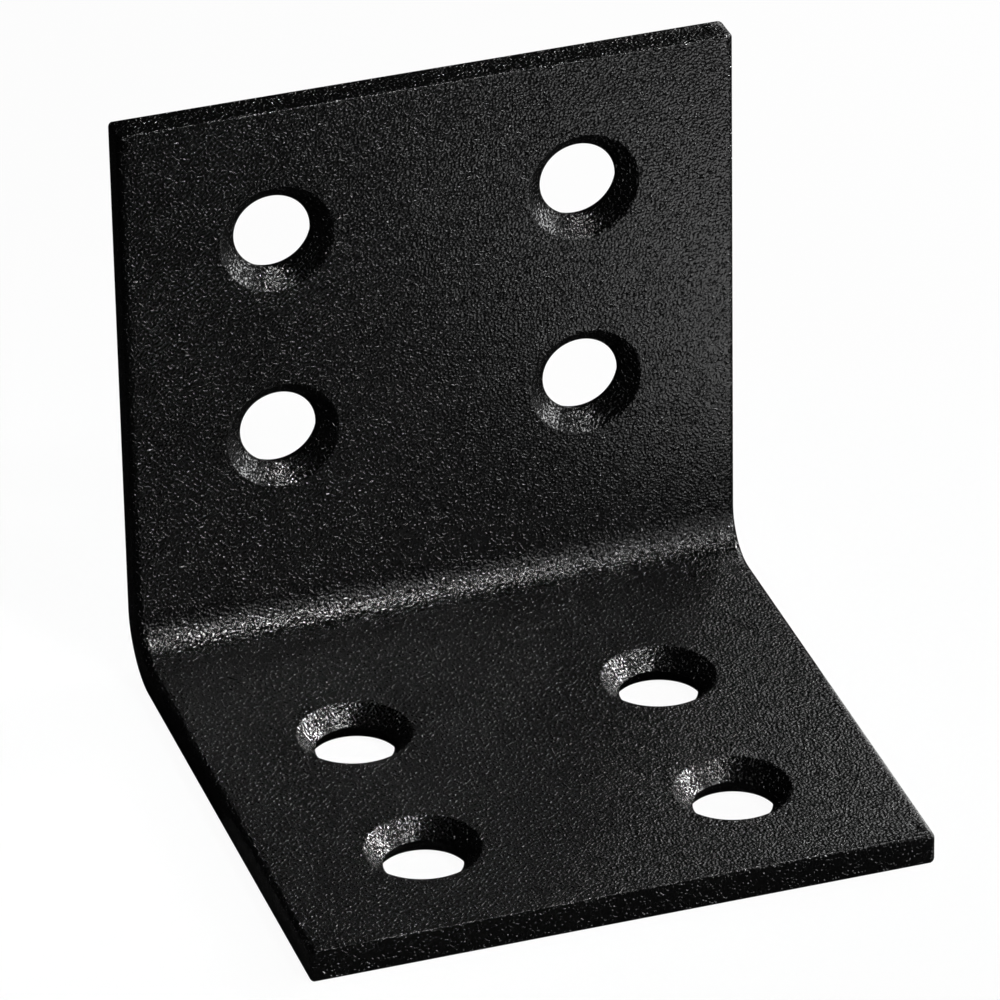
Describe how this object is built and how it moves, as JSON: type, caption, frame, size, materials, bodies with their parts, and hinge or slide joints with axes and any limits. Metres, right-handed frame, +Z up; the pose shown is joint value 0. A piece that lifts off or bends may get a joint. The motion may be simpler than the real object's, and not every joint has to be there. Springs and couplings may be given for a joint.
{
  "type": "corner brace bracket",
  "caption": "Folded sheet-steel corner brace with a lying leg and a standing leg at a right angle, each with countersunk screw holes.",
  "frame": {"origin": "middle of the bracket's footprint, on the underside of the lying leg", "axes": "+X along the fold, +Y from the lying leg's free end to the wall face of the standing leg, +Z up along the standing leg"},
  "size_m": [0.04, 0.039, 0.039],
  "materials": {
    "powder_coat": "fine wrinkle powder coat, satin black"
  },
  "bodies": {
    "root": {"bracket": "powder_coat"}
  },
  "joints": []
}
